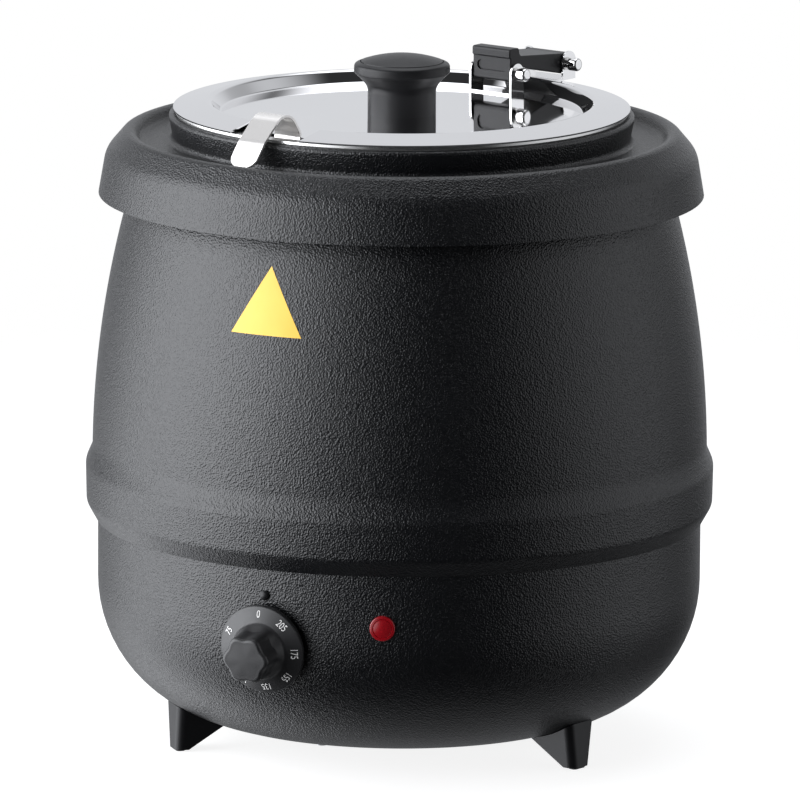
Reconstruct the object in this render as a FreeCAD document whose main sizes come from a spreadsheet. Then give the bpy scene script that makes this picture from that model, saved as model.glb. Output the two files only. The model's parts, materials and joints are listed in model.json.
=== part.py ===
import FreeCAD, Part
import math
import os
import Sketcher

# A round electric soup kettle for a buffet counter, in millimetres.
# +Z is up, the origin is on the kettle's axis at the counter, and -Y is the front.
# An azimuth is an angle about +Z, counted from the front towards +X.
# Each sub-part is one object of the document, and its Label names its file.

Vector = FreeCAD.Vector
UP = Vector(0, 0, 1)

# The driving dimensions. Every one is a cell of the spreadsheet, under the same alias.
SIZES = {
    # lower shell: a deep drawn bowl
    "bowl_radius": 163.4,
    "bowl_rounding": 75.0,
    "bowl_base": 13.5,
    "bowl_top": 128.0,
    "base_opening": 80.0,
    "shell_gauge": 1.0,
    # upper shell: the band at its foot and the arched barrel above
    "band_radius": 170.0,
    "band_foot": 122.0,
    "band_foot_radius": 164.6,
    "band_shoulder": 152.0,
    "barrel_foot": 160.4,
    "barrel_foot_radius": 166.4,
    "barrel_top_radius": 138.0,
    "barrel_bow": 542.0,
    # top collar: skirt, shoulder, valley and inner ring
    "skirt_radius": 163.2,
    "skirt_lip": 299.1,
    "shoulder_radius": 146.5,
    "shoulder_height": 336.6,
    "valley_outer": 140.5,
    "valley_inner": 127.5,
    "valley_height": 328.0,
    "ring_radius": 125.8,
    "ring_bore": 118.6,
    "ring_height": 342.8,
    # well, pot and lid
    "pan_gauge": 0.6,
    "seal_thickness": 0.6,
    "well_radius": 117.0,
    "well_flange": 122.0,
    "well_floor": 85.0,
    "pot_gauge": 0.7,
    "pot_radius": 112.0,
    "pot_flange": 122.5,
    "pot_rim": 344.8,
    "pot_floor": 95.0,
    "lid_gauge": 0.8,
    "lid_radius": 123.2,
    "lid_edge": 345.8,
    "lid_crest_radius": 103.5,
    "lid_crest": 349.6,
    "lid_panel_radius": 98.0,
    "lid_panel_height": 342.5,
    # notches in the lid
    "ladle_notch_width": 46.0,
    "ladle_notch_depth": 97.0,
    "hinge_notch_width": 34.0,
    "hinge_notch_depth": 108.0,
    "notch_rounding": 6.0,
    # lid knob
    "grip_stem_radius": 18.4,
    "grip_head_radius": 26.0,
    "grip_height": 32.0,
    "grip_bore": 3.0,
    # hinge: two pins, one link and two brackets, turned from the front
    "hinge_azimuth": 157.2,
    "front_pin_reach": 85.5,
    "rear_pin_reach": 133.0,
    "front_pin_height": 353.8,
    "rear_pin_height": 353.5,
    "pin_radius": 2.3,
    "pin_clearance": 0.05,
    "pin_head_radius": 3.6,
    "link_width": 25.6,
    "ear_spread": 13.1,
    "ear_gauge": 1.0,
    "ear_width": 11.5,
    # pot clip
    "clip_width": 17.0,
    "clip_gauge": 1.2,
    # dial, lamp and stud on the lower shell
    "dial_azimuth": -11.5,
    "dial_dip": 6.5,
    "dial_radius": 24.0,
    "dial_stand": 25.0,
    "dial_grip_radius": 13.6,
    "shaft_radius": 3.0,
    "stud_height": 108.0,
    "lamp_azimuth": 11.2,
    "lamp_height": 94.0,
    "lamp_radius": 6.75,
    "lamp_hole": 5.2,
    # feet
    "foot_face": 129.6,
    "foot_toe": 122.6,
    "foot_heel": 101.5,
    "foot_width": 22.0,
    "foot_sole_width": 15.0,
    "foot_lift": 1.0,
    "pad_reach": 126.0,
    "pad_length": 9.6,
    "pad_width": 4.8,
    # heating and control parts inside
    "heater_radius": 78.0,
    "heater_tube": 4.0,
    "stud_radius": 4.0,
    "blanket_inner": 124.9,
    "blanket_outer": 131.0,
    "blanket_foot": 104.0,
    "blanket_top": 320.0,
    "cord_radius": 3.2,
    "cord_azimuth": -145.0,
    "cord_exit_dip": 35.5,
    "wire_radius": 1.2,
}

# Places and small fastener sizes, as radii, reaches from the axis, heights and azimuths.
FEET = {"foot_front_left": -56.0, "foot_front_right": 64.0, "foot_rear": 184.0}
FOOT_SCREW = 2.0
FOOT_SCREW_DIP = 67.0
PAD_SEAT = 1.1
BASE_SCREWS = (75.0, 165.0, 255.0, 345.0)
BASE_SCREW = 1.9
SCREW_HEAD = 3.6
HEATER_ENDS = (-80.0, -120.0)
HEATER_LEG = 22.0
CUTOUT_REACH = 45.0
CUTOUT_AZIMUTH = -60.0
CUTOUT_DEPTH = 9.5
CUTOUT_BLADE = 7.0
BULB_RADIUS = 3.0
BULB_REACH = 121.2
BULB_AZIMUTH = -40.0
BULB_FOOT = 120.0
BULB_LENGTH = 70.0
INDEX_SHANK = 1.5
INDEX_HEAD = 2.6
THERMOSTAT_BACK = 36.0
THERMOSTAT_FRONT = 6.0
SCREW_SPREAD = 14.0
GLAND_NECK = 7.0
BLOCK_REACH = 82.0
BLOCK_FOOT = 14.9
BLOCK_HEIGHT = 15.0
BLOCK_WELLS = (-13.0, 0.0, 13.0)
EARTH_AZIMUTH = -170.0
EARTH_REACH = 84.4
PLUG_LENGTH = 34.0
BLADE_RISE = 5.7
RIVET_RADIUS = 1.6
RIVET_HEIGHTS = (319.0, 327.0)
CLIP_LEG_REACH = 111.6

# A turn smaller than this needs no bend in a cable.
STRAIGHT_ENOUGH = math.radians(0.5)


class Size:
    """A number together with the sheet expression that gives it."""

    def __init__(self, value, text=None):
        self.value = float(value)
        self.text = text or repr(float(value))

    def __add__(self, other):
        other = size(other)
        return Size(self.value + other.value, f"({self.text} + {other.text})")

    def __sub__(self, other):
        other = size(other)
        return Size(self.value - other.value, f"({self.text} - {other.text})")

    def __mul__(self, other):
        other = size(other)
        return Size(self.value * other.value, f"({self.text} * {other.text})")

    def __truediv__(self, other):
        other = size(other)
        return Size(self.value / other.value, f"({self.text} / {other.text})")

    def __neg__(self):
        return Size(-self.value, f"(0 - {self.text})")

    def root(self):
        return Size(math.sqrt(self.value), f"sqrt({self.text})")


def size(number):
    """The number as a Size."""
    return number if isinstance(number, Size) else Size(number)


class Sheet:
    """The document's spreadsheet, whose aliases read as Sizes."""

    def __init__(self, document):
        cells = document.addObject("Spreadsheet::Sheet", "Sizes")
        for row, (alias, value) in enumerate(SIZES.items(), 1):
            cells.set(f"A{row}", str(value))
            cells.setAlias(f"A{row}", alias)
        document.recompute()

    def __getattr__(self, alias):
        return Size(SIZES[alias], f"Sizes.{alias}")


doc = FreeCAD.newDocument("SoupKettle")
dim = Sheet(doc)


# ---------------------------------------------------------------- sketches


def bind(thing, prop, amount):
    """Sets a property from a Size and binds it to the sheet."""
    amount = size(amount)
    setattr(thing, prop, amount.value)
    if "Sizes." in amount.text:
        thing.setExpression(prop, amount.text)


def rounded(x, y, radius):
    """A corner of an outline with a tangent round of this radius."""
    return (x, y, radius, None)


def arc_to(x, y, radius):
    """A corner reached by an arc, bulging left of the way there, or right if negative."""
    return (x, y, None, radius)


def dome_to(rim_radius, rim_height, top):
    """The axis end of a dome that starts at a rim and is level where it meets the axis."""
    rise = size(top) - rim_height
    reach = size(rim_radius)
    bow = (reach * reach + rise * rise) / (rise * 2)
    return arc_to(0, top, -bow)


def arc_through(start, end, radius):
    """The arc of a radius from start to end, bulging left, or right if negative."""
    chord = end - start
    half = chord.Length / 2
    left = Vector(-chord.y, chord.x, 0).normalize()
    rise = abs(radius) - math.sqrt(radius * radius - half * half)
    middle = (start + end) * 0.5 + left * math.copysign(rise, radius)
    return Part.Arc(start, middle, end)


def fix_radius(sketch, curve, radius):
    radius = size(radius)
    if radius.value < 0:
        radius = -radius
    fixed = sketch.addConstraint(Sketcher.Constraint("Radius", curve, radius.value))
    if "Sizes." in radius.text:
        sketch.setExpression(f"Constraints[{fixed}]", radius.text)


def fix_point(sketch, curve, end, x, y):
    """Fixes a point of the sketch at x, y from its origin, bound to the sheet."""
    for kind, amount, axis in (("DistanceX", size(x), -2), ("DistanceY", size(y), -1)):
        if amount.value == 0:
            sketch.addConstraint(Sketcher.Constraint("PointOnObject", curve, end, axis))
            continue
        fixed = sketch.addConstraint(
            Sketcher.Constraint(kind, -1, 1, curve, end, amount.value))
        if "Sizes." in amount.text:
            sketch.setExpression(f"Constraints[{fixed}]", amount.text)


def outline(sketch, corners, closed=True):
    """Draws lines and arcs through the corners and fixes every corner and radius."""
    corners = [corner if len(corner) == 4 else (*corner, None, None) for corner in corners]
    points = [Vector(size(c[0]).value, size(c[1]).value, 0) for c in corners]
    count = len(corners)
    sides = []
    for i in range(count if closed else count - 1):
        start, end = points[i], points[(i + 1) % count]
        bow = corners[(i + 1) % count][3]
        if bow is None:
            curve = sketch.addGeometry(Part.LineSegment(start, end), False)
            sides.append((curve, 1, 2))
            continue
        curve = sketch.addGeometry(arc_through(start, end, size(bow).value), False)
        forward = sketch.getPoint(curve, 1).distanceToPoint(start) < 1e-6
        sides.append((curve, 1, 2) if forward else (curve, 2, 1))
    for i in range(len(sides) if closed else len(sides) - 1):
        following = sides[(i + 1) % len(sides)]
        sketch.addConstraint(Sketcher.Constraint(
            "Coincident", sides[i][0], sides[i][2], following[0], following[1]))
    places = [(side[0], side[1]) for side in sides]
    if not closed:
        places.append((sides[-1][0], sides[-1][2]))
    rounds = []
    for i, (x, y, radius, bow) in enumerate(corners):
        if radius is None:
            continue
        arc = len(sketch.Geometry)
        sketch.fillet(*places[i], size(radius).value, True, True)
        rounds.append((arc, radius))
        places[i] = (arc + 1, 1)
    for i, (x, y, radius, bow) in enumerate(corners):
        fix_point(sketch, *places[i], x, y)
        if bow is not None:
            fix_radius(sketch, sides[i - 1][0], bow)
    for arc, radius in rounds:
        fix_radius(sketch, arc, radius)


def circle(sketch, x, y, radius):
    """Adds a circle to a sketch."""
    centre = Vector(size(x).value, size(y).value, 0)
    curve = sketch.addGeometry(Part.Circle(centre, UP, size(radius).value), False)
    fix_point(sketch, curve, 3, x, y)
    fix_radius(sketch, curve, radius)


def origin_feature(body, role):
    """An origin plane or axis of a body, by its role."""
    return next(f for f in body.Origin.OriginFeatures if f.Role == role)


def sketch_in(body, name, plane="XZ_Plane", lift=0):
    """A new sketch on one of the body's own origin planes, lifted along its normal."""
    sketch = body.newObject("Sketcher::SketchObject", name)
    sketch.AttachmentSupport = [(origin_feature(body, plane), "")]
    sketch.MapMode = "FlatFace"
    lift = size(lift)
    sketch.AttachmentOffset = FreeCAD.Placement(UP * lift.value, FreeCAD.Rotation())
    if "Sizes." in lift.text:
        sketch.setExpression("AttachmentOffset.Base.z", lift.text)
    return sketch


# ---------------------------------------------------------------- features


def new_body(name, placement=None):
    body = doc.addObject("PartDesign::Body", name)
    body.AllowCompound = True
    if placement is not None:
        body.Placement = placement
    return body


def revolve(body, name, corners):
    """Turns an outline of (radius, height) corners about the body's Z axis."""
    sketch = sketch_in(body, name + "_profile")
    outline(sketch, corners)
    turning = body.newObject("PartDesign::Revolution", name)
    turning.Profile = sketch
    turning.ReferenceAxis = (sketch, ["V_Axis"])
    turning.Angle = 360
    return turning


def extrude(body, name, draw, length, plane="XZ_Plane", lift=0, symmetric=True,
            kind="PartDesign::Pad", backwards=False):
    """Pads or pockets a sketch, which draw(sketch) fills, along its plane's normal."""
    sketch = sketch_in(body, name + "_outline", plane, lift)
    draw(sketch)
    feature = body.newObject(kind, name)
    feature.Profile = sketch
    bind(feature, "Length", length)
    feature.SideType = "Symmetric" if symmetric else "One side"
    feature.Reversed = backwards
    return feature


def shape_of(corners):
    """A drawing function for one closed outline."""
    return lambda sketch: outline(sketch, corners)


def discs(*circles):
    """A drawing function for circles, each (x, y, radius)."""
    def draw(sketch):
        for x, y, radius in circles:
            circle(sketch, x, y, radius)
    return draw


def pocket(body, name, draw, length, **options):
    """Cuts a sketch out of the body and makes sure that it removed material."""
    doc.recompute()
    before = body.Shape.Volume
    feature = extrude(body, name, draw, length, kind="PartDesign::Pocket", **options)
    doc.recompute()
    if body.Shape.Volume > before - 1e-3:
        raise RuntimeError(f"{name} cuts nothing")
    return feature


def soften(body, name, radius, chosen):
    """Fillets the edges of the body's solid that chosen(edge) picks."""
    doc.recompute()
    base = body.Tip
    edges = [f"Edge{i}" for i, edge in enumerate(base.Shape.Edges, 1) if chosen(edge)]
    if not edges:
        raise RuntimeError(f"{name} finds no edge")
    fillet = body.newObject("PartDesign::Fillet", name)
    fillet.Base = (base, edges)
    bind(fillet, "Radius", radius)
    return fillet


def around(body, name, feature, count):
    """Repeats a feature evenly around the body's Z axis."""
    pattern = body.newObject("PartDesign::PolarPattern", name)
    pattern.Originals = [feature]
    pattern.Axis = (origin_feature(body, "Z_Axis"), [""])
    pattern.Angle = 360
    pattern.Occurrences = count
    body.Tip = pattern
    return pattern


def turned(name, corners, placement=None):
    """A body turned about its own Z axis."""
    body = new_body(name, placement)
    revolve(body, name + "_turning", corners)
    return body


def sheet_section(name, path, gauge):
    """A sheet seen from its edge, in the XZ plane.

    The path is one side of the sheet; the sheet lies to the left of the way along it, or
    to its right for a negative gauge."""
    sketch = doc.addObject("Sketcher::SketchObject", name + "_path")
    sketch.Placement = FreeCAD.Placement(Vector(), FreeCAD.Rotation(Vector(1, 0, 0), 90))
    outline(sketch, path, closed=False)
    section = doc.addObject("Part::Offset2D", name + "_section")
    section.Source = sketch
    section.Mode = "Skin"
    section.Join = "Intersection"
    section.Fill = True
    bind(section, "Value", gauge)
    return section


def sheet_ring(name, path, gauge):
    """A pressed sheet turned about the kettle's axis, from (radius, height) corners."""
    ring = doc.addObject("Part::Revolution", name)
    ring.Source = sheet_section(name, path, gauge)
    ring.Axis = UP
    ring.Base = Vector()
    ring.Angle = 360
    ring.Solid = True
    return ring


# ---------------------------------------------------------------- placing


def outward(azimuth):
    """The level unit vector at an azimuth."""
    turn = math.radians(azimuth)
    return Vector(math.sin(turn), -math.cos(turn), 0)


def facing(azimuth):
    """Turns local +X to an azimuth and leaves +Z up."""
    return FreeCAD.Placement(Vector(), FreeCAD.Rotation(UP, azimuth - 90))


def spoke(azimuth, reach, height, dip=0.0):
    """Local +Z points outward at an azimuth, dipping by an angle; local +Y is upward."""
    level = outward(azimuth)
    lean = math.radians(dip)
    out = level * math.cos(lean) - UP * math.sin(lean)
    rise = level * math.sin(lean) + UP * math.cos(lean)
    side = rise.cross(out)
    return FreeCAD.Placement(level * reach + UP * height, FreeCAD.Rotation(side, rise, out, "ZYX"))


def lifted(height):
    """A placement straight up the kettle's axis."""
    return FreeCAD.Placement(UP * size(height).value, FreeCAD.Rotation())


def beside(place, x, y=0.0, z=0.0):
    """A placement shifted in its own axes."""
    return place * FreeCAD.Placement(Vector(x, y, z), FreeCAD.Rotation())


def turned_over(place):
    """A placement whose local +Z and +Y are reversed."""
    return place * FreeCAD.Placement(Vector(), FreeCAD.Rotation(Vector(1, 0, 0), 180))


def from_bowl_centre(azimuth, dip, distance):
    """A spoke square to the bowl's rounding, at a distance from the rounding's centre."""
    lean = math.radians(dip)
    reach = CENTRE_REACH.value + distance * math.cos(lean)
    return spoke(azimuth, reach, CENTRE_HEIGHT.value - distance * math.sin(lean), dip)


def grouped(name, members):
    """One node of several separate solids."""
    group = doc.addObject("Part::Compound", name)
    group.Links = members
    return group


def drilled(name, base, cutters):
    """A shape with holes, which are the cutters' shapes."""
    cut = doc.addObject("Part::Cut", name)
    cut.Base = base
    cut.Tool = grouped(name + "_cutters", cutters)
    return cut


def drill(name, radius, placement, start=-20.0, length=40.0):
    """A cylinder about a placement's Z axis, for cutting a hole."""
    cylinder = doc.addObject("Part::Cylinder", name)
    bind(cylinder, "Radius", radius)
    bind(cylinder, "Height", length)
    cylinder.Placement = placement * FreeCAD.Placement(UP * start, FreeCAD.Rotation())
    return cylinder


def block(name, length, width, height, placement):
    """A box centred on its placement in X and Y, standing on it in Z."""
    box = doc.addObject("Part::Box", name)
    bind(box, "Length", length)
    bind(box, "Width", width)
    bind(box, "Height", height)
    offset = Vector(-box.Length.Value / 2, -box.Width.Value / 2, 0)
    box.Placement = placement * FreeCAD.Placement(offset, FreeCAD.Rotation())
    return box


def fused(name, members):
    """Several touching shapes made into one solid."""
    fusion = doc.addObject("Part::MultiFuse", name)
    fusion.Shapes = members
    fusion.Refine = True
    return fusion


def bent_path(points, bend):
    """Straight runs through the points, with a tangent arc at each bend."""
    points = [Vector(*p) for p in points]
    edges = []
    here = points[0]
    for before, corner, after in zip(points, points[1:], points[2:]):
        back, ahead = before - corner, after - corner
        half = (math.pi - back.getAngle(ahead)) / 2
        if half < STRAIGHT_ENOUGH:
            continue
        reach = min(bend * math.tan(half), 0.48 * back.Length, 0.48 * ahead.Length)
        back.normalize()
        ahead.normalize()
        radius = reach / math.tan(half)
        start, end = corner + back * reach, corner + ahead * reach
        top = corner + (back + ahead).normalize() * (radius / math.cos(half) - radius)
        edges.append(Part.makeLine(here, start))
        edges.append(Part.Arc(start, top, end).toShape())
        here = end
    edges.append(Part.makeLine(here, points[-1]))
    return Part.Wire(edges)


def tube_along(name, points, radius, bend=8.0):
    """A round cable or thin tube through points, bent to a radius where it turns."""
    path = bent_path(points, bend)
    start, heading = Vector(*points[0]), Vector(*points[1]) - Vector(*points[0])
    rim = Part.Wire(Part.makeCircle(radius, start, heading))
    tube = doc.addObject("Part::Feature", name)
    tube.Shape = path.makePipeShell([rim], True, False)
    return tube


def polar(azimuth, reach, height):
    """The point at an azimuth, a radius and a height."""
    spot = outward(azimuth) * reach
    return (spot.x, spot.y, height)


CENTRE_REACH = dim.bowl_radius - dim.bowl_rounding
CENTRE_HEIGHT = dim.bowl_base + dim.bowl_rounding
DIAL = from_bowl_centre(dim.dial_azimuth.value, dim.dial_dip.value, dim.bowl_rounding.value)
LAMP = spoke(dim.lamp_azimuth.value, dim.bowl_radius.value, dim.lamp_height.value)
STUD = spoke(dim.dial_azimuth.value, dim.bowl_radius.value, dim.stud_height.value)
CORD_EXIT = from_bowl_centre(dim.cord_azimuth.value, dim.cord_exit_dip.value,
                             dim.bowl_rounding.value)
HINGE = facing(dim.hinge_azimuth.value)
LADLE_SIDE = facing(dim.hinge_azimuth.value - 180)


def bowl_underside(reach):
    """The height of the bowl's outside at a radius within its rounding."""
    across = size(reach) - CENTRE_REACH
    return CENTRE_HEIGHT - (dim.bowl_rounding * dim.bowl_rounding - across * across).root()


# ---------------------------------------------------------------- shells


def lower_shell():
    bowl = sheet_ring("lower_shell_drawn", [
        (dim.base_opening, dim.bowl_base),
        rounded(dim.bowl_radius, dim.bowl_base, dim.bowl_rounding),
        (dim.bowl_radius, dim.bowl_top),
    ], dim.shell_gauge)
    holes = [
        drill("dial_hole", dim.shaft_radius + 1.2, DIAL),
        drill("lamp_hole", dim.lamp_hole, LAMP),
        drill("index_hole", INDEX_SHANK, STUD),
        drill("cord_hole", GLAND_NECK, CORD_EXIT),
    ]
    for side in (-1, 1):
        holes.append(drill(f"thermostat_hole{side}", 1.6, beside(DIAL, side * SCREW_SPREAD)))
    for azimuth in FEET.values():
        holes.append(drill(f"foot_hole{azimuth}", FOOT_SCREW, foot_screw_place(azimuth)))
    for azimuth in BASE_SCREWS:
        holes.append(drill(f"base_hole{azimuth}", BASE_SCREW, base_screw_place(azimuth)))
    return drilled("lower_shell", bowl, holes)


def upper_shell():
    top = dim.valley_height - dim.shell_gauge
    return sheet_ring("upper_shell", [
        (dim.band_foot_radius, dim.band_foot),
        rounded(dim.band_radius - 0.4, dim.band_foot + 8.9, 7),
        rounded(dim.band_radius, dim.band_shoulder, 9),
        (dim.barrel_foot_radius, dim.barrel_foot),
        arc_to(dim.barrel_top_radius, top, -dim.barrel_bow),
        (dim.valley_inner + 1, top),
    ], dim.shell_gauge)


def top_collar():
    return sheet_ring("top_collar", [
        (dim.skirt_radius, dim.skirt_lip),
        rounded(dim.skirt_radius - 3.8, dim.skirt_lip + 22.4, 16),
        rounded(dim.shoulder_radius, dim.shoulder_height, 5),
        rounded(dim.valley_outer, dim.valley_height, 4),
        rounded(dim.valley_inner, dim.valley_height, 3),
        rounded(dim.ring_radius, dim.ring_height, 2),
        (dim.ring_bore, dim.ring_height),
    ], dim.shell_gauge)


def dish_top():
    """The height of the underside of the base cover's raised middle."""
    return dim.bowl_base + 4


def base_cover():
    """The round plate under the bowl, dished up in the middle, with cooling holes."""
    dish_radius = dim.base_opening - 14
    vent_reach, vent_radius = 40, 4
    plate = sheet_ring("base_cover_pressed", [
        (dim.base_opening + 7, dim.bowl_base),
        rounded(dish_radius + 4, dim.bowl_base, 2),
        rounded(dish_radius, dish_top(), 2),
        (dim.stud_radius + 0.2, dish_top()),
    ], dim.shell_gauge)
    holes = [drill(f"cover_hole{a}", BASE_SCREW + 0.2, base_screw_place(a)) for a in BASE_SCREWS]
    for azimuth in range(0, 360, 45):
        vent = spoke(azimuth, vent_reach, dim.bowl_base.value, 90)
        holes.append(drill(f"cooling_hole{azimuth}", vent_radius, vent))
    return drilled("base_cover", plate, holes)


# ---------------------------------------------------------------- feet


def foot_screw_place(azimuth):
    """Square to the bowl over a foot, with local +Z pointing into the foot."""
    return from_bowl_centre(azimuth, FOOT_SCREW_DIP, dim.bowl_rounding.value)


def base_screw_place(azimuth):
    """On the plate's underside near its edge, with local +Z pointing down."""
    return spoke(azimuth, dim.base_opening.value + 3.5, dim.bowl_base.value - 1, 90)


def foot(name, azimuth):
    """A wedge under the bowl: upright outside, sloping inside, narrower at the sole."""
    fit = 0.1
    face_top = bowl_underside(dim.foot_face) - fit
    heel_top = bowl_underside(dim.foot_heel) - fit
    body = new_body(name + "_moulding", facing(azimuth))
    extrude(body, name + "_wedge", shape_of([
        (dim.foot_toe, dim.foot_lift),
        (dim.foot_face, dim.foot_lift),
        (dim.foot_face, face_top),
        arc_to(dim.foot_heel, heel_top, dim.bowl_rounding),
    ]), dim.foot_width)
    wide, narrow = dim.foot_width / 2, dim.foot_sole_width / 2

    def both_sides(sketch):
        for side in (-1, 1):
            outline(sketch, [
                (narrow * side, dim.foot_lift),
                (wide * side, face_top),
                ((wide + 1) * side, face_top),
                ((wide + 1) * side, dim.foot_lift - 1),
                (narrow * side, dim.foot_lift - 1),
            ])
    pocket(body, name + "_taper", both_sides, 2 * dim.foot_face.value + 20, plane="YZ_Plane")
    soften(body, name + "_corners", 4.5, upright_edge_at(dim.foot_face.value))
    pocket(body, name + "_pad_seat", pad_plan(0.05), PAD_SEAT, plane="XY_Plane",
           lift=dim.foot_lift, symmetric=False, backwards=True)
    pilot = drill(name + "_pilot", FOOT_SCREW - 0.1, foot_screw_place(azimuth), -2, 15)
    return drilled(name, body, [pilot])


def upright_edge_at(reach):
    """Picks the vertical edges at a local X."""
    def chosen(edge):
        box = edge.BoundBox
        return box.XLength < 1e-3 and box.ZLength > 5 and abs(box.XMin - reach) < 0.1
    return chosen


def pad_plan(clearance):
    """Draws a pad, or its seat with some clearance, as seen from above."""
    half_width = dim.pad_width / 2 + clearance
    half_length = dim.pad_length / 2 + clearance
    inner, outer = dim.pad_reach - half_width, dim.pad_reach + half_width
    return shape_of([
        rounded(inner, -half_length, 1.8),
        rounded(outer, -half_length, 1.8),
        rounded(outer, half_length, 1.8),
        rounded(inner, half_length, 1.8),
    ])


def foot_pads():
    """Rubber strips let into the feet, which the kettle stands on."""
    pads = []
    for azimuth in FEET.values():
        pad = new_body(f"foot_pad{azimuth}", facing(azimuth))
        extrude(pad, f"pad_strip{azimuth}", pad_plan(0), dim.foot_lift + PAD_SEAT,
                plane="XY_Plane", symmetric=False)
        pads.append(pad)
    return grouped("foot_pads", pads)


def screw(name, place, shank, head, length):
    """A pan-head screw whose head sits on the placement's plane, shank along +Z."""
    return turned(name, [
        (0, -head * 0.7),
        rounded(head, -head * 0.7, head * 0.35),
        (head, 0),
        (shank, 0),
        (shank, length - shank / 2),
        (shank / 2, length),
        (0, length),
    ], place)


def foot_screws():
    """Screws from inside the bowl, down into each foot."""
    inside = lifted(-dim.shell_gauge - 0.15)
    return grouped("foot_screws", [
        screw(f"foot_screw{azimuth}", foot_screw_place(azimuth) * inside, FOOT_SCREW - 0.1,
              SCREW_HEAD, 13)
        for azimuth in FEET.values()])


def base_cover_screws():
    """Screws from below, up through the base cover into the bowl's lip."""
    return grouped("base_cover_screws", [
        screw(f"base_screw{azimuth}", turned_over(base_screw_place(azimuth)), BASE_SCREW,
              SCREW_HEAD, 8)
        for azimuth in BASE_SCREWS])


# ---------------------------------------------------------------- well and heating


def well_pan():
    top = dim.ring_height + dim.seal_thickness + dim.pan_gauge
    return sheet_ring("well_pan", [
        (dim.well_flange, top),
        rounded(dim.well_radius, top, 2),
        rounded(dim.well_radius, dim.well_floor, 18),
        (0, dim.well_floor),
    ], dim.pan_gauge)


def ring_of(name, inner, outer, bottom, top, placement=None):
    """A plain ring of rectangular section."""
    return turned(name, [(inner, bottom), (outer, bottom), (outer, top), (inner, top)],
                  placement)


def well_seal():
    return ring_of("well_seal", dim.ring_bore + 0.6, dim.well_flange, dim.ring_height,
                   dim.ring_height + dim.seal_thickness)


def insulation_blanket():
    return ring_of("insulation_blanket", dim.blanket_inner, dim.blanket_outer,
                   dim.blanket_foot, dim.blanket_top)


def pan_underside():
    return dim.well_floor - dim.pan_gauge


def heater_height():
    """The height of the tubular heater's centre line, just under the pan."""
    return pan_underside() - dim.heater_tube - 0.1


def heater_ring():
    """A tubular element bent into an open ring, whose two ends turn down."""
    height = heater_height().value
    ring = doc.addObject("Part::Torus", "heater_loop")
    bind(ring, "Radius1", dim.heater_radius)
    bind(ring, "Radius2", dim.heater_tube)
    ring.Angle3 = 360 - (HEATER_ENDS[0] - HEATER_ENDS[1])
    ring.Placement = FreeCAD.Placement(UP * height, FreeCAD.Rotation(UP, HEATER_ENDS[0] - 90))
    members = [ring]
    for azimuth in HEATER_ENDS:
        place = spoke(azimuth, dim.heater_radius.value, height, 90)
        members.append(drill(f"heater_leg{azimuth}", dim.heater_tube, place, 0, HEATER_LEG))
        elbow = doc.addObject("Part::Sphere", f"heater_elbow{azimuth}")
        bind(elbow, "Radius", dim.heater_tube)
        elbow.Placement = place
        members.append(elbow)
    return fused("heater_ring", members)


def clamp_top():
    return heater_height() - dim.heater_tube - 0.1


def heater_clamp():
    """A dished plate that presses the heater up against the pan."""
    plate = sheet_ring("heater_clamp_pressed", [
        (dim.heater_radius + 12, clamp_top() + 3.3),
        rounded(dim.heater_radius + 10, clamp_top(), 1.5),
        (dim.stud_radius + 0.2, clamp_top()),
    ], dim.shell_gauge)
    holes = [
        drill(f"clamp_hole{a}", dim.heater_tube + 1.5,
              spoke(a, dim.heater_radius.value, clamp_top().value, 90))
        for a in HEATER_ENDS]
    holes.append(drill("clamp_cutout_hole", 9, cutout_place()))
    return drilled("heater_clamp", plate, holes)


def centre_stud():
    """A threaded rod welded under the pan, which holds the clamp and the base cover."""
    top = pan_underside()
    foot = dim.bowl_base - 5
    return turned("centre_stud", [
        (0, foot),
        (dim.stud_radius - 0.8, foot),
        (dim.stud_radius, foot + 0.8),
        (dim.stud_radius, top - 1.2),
        (9, top - 1.2),
        (9, top),
        (0, top),
    ])


def nut(name, bore, across, thickness, place):
    """A hexagon nut standing on its placement."""
    body = new_body(name, place)

    def hexagon(sketch):
        half = across / 2
        tip = half / math.cos(math.pi / 6)
        outline(sketch, [(tip * math.cos(k * math.pi / 3), tip * math.sin(k * math.pi / 3))
                         for k in range(6)])
    extrude(body, name + "_prism", hexagon, thickness, plane="XY_Plane", symmetric=False)
    pocket(body, name + "_bore", discs((0, 0, bore)), thickness, plane="XY_Plane",
           symmetric=False, backwards=True)
    return body


def centre_nuts():
    thickness = 6.5
    under_clamp = clamp_top() - dim.shell_gauge - thickness
    under_cover = dish_top() - dim.shell_gauge - thickness
    bore, across = dim.stud_radius + 0.02, 13
    return grouped("centre_nuts", [
        nut("clamp_nut", bore, across, thickness, lifted(under_clamp)),
        nut("cover_nut", bore, across, thickness, lifted(under_cover))])


def cutout_place():
    """Under the pan, with local +Z pointing down."""
    return spoke(CUTOUT_AZIMUTH, CUTOUT_REACH, pan_underside().value - 0.1, 90)


def thermal_cutout():
    """A disc thermostat that switches the heater off if the well boils dry."""
    flange, rim, can = 11, 1.4, 7.5
    return turned("thermal_cutout", [
        (0, 0),
        rounded(flange, 0, 0.4),
        (flange, rim),
        (can, rim),
        rounded(can, CUTOUT_DEPTH, 0.8),
        (0, CUTOUT_DEPTH),
    ], cutout_place())


def blades(name, place, spots, width, thickness, length):
    """Flat metal tabs standing along a placement's +Z."""
    members = []
    for i, (x, y) in enumerate(spots):
        spot = place * FreeCAD.Placement(Vector(x, y, 0), FreeCAD.Rotation())
        members.append(block(f"{name}{i}", thickness, width, length, spot))
    return grouped(name, members)


def cutout_terminals():
    face = cutout_place() * lifted(CUTOUT_DEPTH)
    return blades("cutout_terminals", face, [(-3.5, 0), (3.5, 0)], 5, 0.8, CUTOUT_BLADE)


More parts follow.
